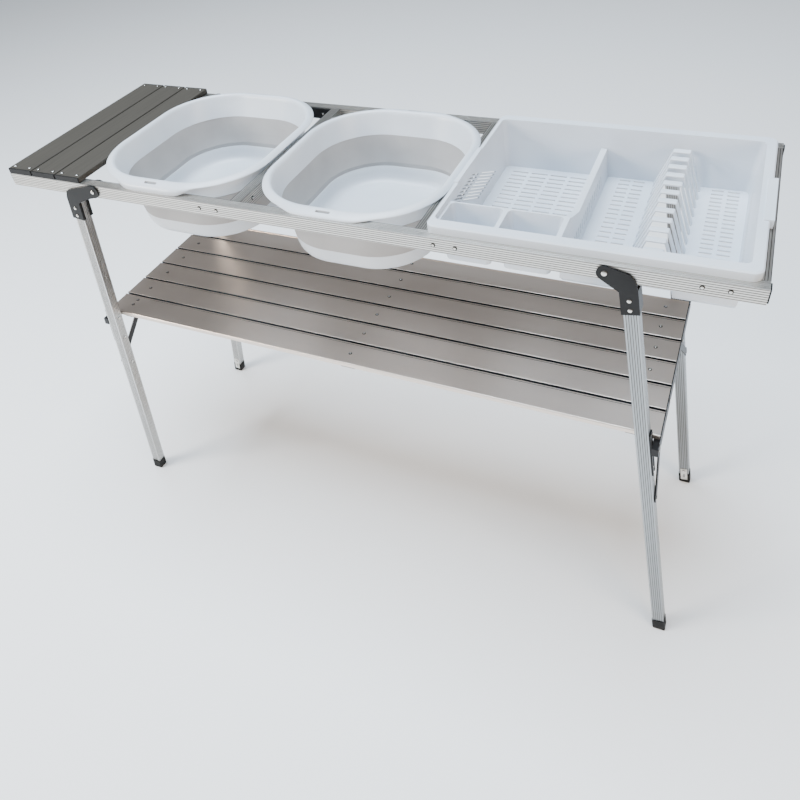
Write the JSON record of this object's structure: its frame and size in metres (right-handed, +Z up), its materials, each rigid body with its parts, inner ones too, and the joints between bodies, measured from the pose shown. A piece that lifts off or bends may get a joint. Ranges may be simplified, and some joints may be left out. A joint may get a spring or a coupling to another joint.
{
  "type": "folding camp wash stand",
  "caption": "Folding aluminium camp wash stand with collapsible basins, a dish rack, dark side slats, splayed folding legs and a slatted lower shelf.",
  "frame": {"origin": "on the floor, at the centre of the part's plan", "axes": "+X along the rails from the side slats to the dish rack, -Y towards the front, +Z up"},
  "size_m": [1.304, 0.416, 0.865],
  "materials": {
    "rail_aluminium": "fine ribs, pale anodised",
    "leg_aluminium": "ribbed, pale anodised",
    "dark_slat": "matte warm grey",
    "black_plastic": "moulded, slightly grained",
    "rivet_steel": "bright rivet",
    "hinge_black": "moulded, satin",
    "foot_rubber": "matte",
    "zinc_plate": "zinc plated",
    "shelf_silver": "satin silver",
    "batten_aluminium": "satin",
    "black_steel": "black powder coat",
    "basin_white": "smooth, slightly translucent white",
    "band_grey": "soft grey moulding",
    "rack_white": "moulded white"
  },
  "bodies": {
    "frame": {"rail_front": "rail_aluminium", "rail_rear": "rail_aluminium", "rail_plugs": "black_plastic", "cross_bar_left": "rail_aluminium", "cross_bar_middle": "rail_aluminium", "end_bar": "rail_aluminium", "corner_brackets": "black_plastic", "frame_rivets": "rivet_steel", "side_slat_1": "dark_slat", "side_slat_2": "dark_slat", "side_slat_3": "dark_slat", "side_slat_caps": "black_plastic", "side_slat_rivets": "rivet_steel", "hinge_pins": "rivet_steel"},
    "front_left_leg": {"leg_fl": "leg_aluminium", "hinge_fl": "hinge_black", "leg_rivets_fl": "rivet_steel", "foot_fl": "foot_rubber", "foot_plate_fl": "zinc_plate"},
    "rear_left_leg": {"leg_rl": "leg_aluminium", "hinge_rl": "hinge_black", "leg_rivets_rl": "rivet_steel", "foot_rl": "foot_rubber", "foot_plate_rl": "zinc_plate"},
    "front_right_leg": {"leg_fr": "leg_aluminium", "hinge_fr": "hinge_black", "leg_rivets_fr": "rivet_steel", "foot_fr": "foot_rubber", "foot_plate_fr": "zinc_plate"},
    "rear_right_leg": {"leg_rr": "leg_aluminium", "hinge_rr": "hinge_black", "leg_rivets_rr": "rivet_steel", "foot_rr": "foot_rubber", "foot_plate_rr": "zinc_plate"},
    "shelf": {"shelf_slat_1": "shelf_silver", "shelf_slat_2": "shelf_silver", "shelf_slat_3": "shelf_silver", "shelf_slat_4": "shelf_silver", "shelf_slat_5": "shelf_silver", "shelf_slat_6": "shelf_silver", "batten_left": "batten_aluminium", "batten_middle": "batten_aluminium", "batten_right": "batten_aluminium", "batten_caps": "black_plastic", "shelf_rivets": "rivet_steel", "arm_left": "black_steel", "arm_right": "black_steel", "stays_left": "black_steel", "stays_right": "black_steel", "hooks_left": "black_steel", "hooks_right": "black_steel", "arm_fixings": "rivet_steel"},
    "basin_1": {"basin_1_rim": "basin_white", "basin_1_band": "band_grey"},
    "basin_1_bottom": {"basin_1_base": "basin_white"},
    "basin_2": {"basin_2_rim": "basin_white", "basin_2_band": "band_grey"},
    "basin_2_bottom": {"basin_2_base": "basin_white"},
    "rack": {"dish_rack": "rack_white", "rack_arches": "rack_white"}
  },
  "joints": [
    {"name": "fold_front_left_leg", "type": "hinge", "parent": "frame", "child": "front_left_leg", "pos_m": [-0.45, -0.1935, 0.836], "axis": [0, -1, 0], "range_deg": [0, 98]},
    {"name": "fold_rear_left_leg", "type": "hinge", "parent": "frame", "child": "rear_left_leg", "pos_m": [-0.45, 0.1935, 0.836], "axis": [0, -1, 0], "range_deg": [0, 98]},
    {"name": "fold_front_right_leg", "type": "hinge", "parent": "frame", "child": "front_right_leg", "pos_m": [0.45, -0.1935, 0.836], "axis": [0, 1, 0], "range_deg": [0, 100.2]},
    {"name": "fold_rear_right_leg", "type": "hinge", "parent": "frame", "child": "rear_right_leg", "pos_m": [0.45, 0.1935, 0.836], "axis": [0, 1, 0], "range_deg": [0, 100.2]},
    {"name": "lift_shelf", "type": "slide", "parent": "frame", "child": "shelf", "axis": [0, 0, 1], "range_m": [0, 0.18]},
    {"name": "lift_basin_1", "type": "slide", "parent": "frame", "child": "basin_1", "axis": [0, 0, 1], "range_m": [0, 0.16]},
    {"name": "collapse_basin_1", "type": "slide", "parent": "basin_1", "child": "basin_1_bottom", "axis": [0, 0, 1], "range_m": [0, 0.055], "deforming": ["basin_1_band"]},
    {"name": "lift_basin_2", "type": "slide", "parent": "frame", "child": "basin_2", "axis": [0, 0, 1], "range_m": [0, 0.16]},
    {"name": "collapse_basin_2", "type": "slide", "parent": "basin_2", "child": "basin_2_bottom", "axis": [0, 0, 1], "range_m": [0, 0.055], "deforming": ["basin_2_band"]},
    {"name": "lift_rack", "type": "slide", "parent": "frame", "child": "rack", "axis": [0, 0, 1], "range_m": [0, 0.12]}
  ]
}
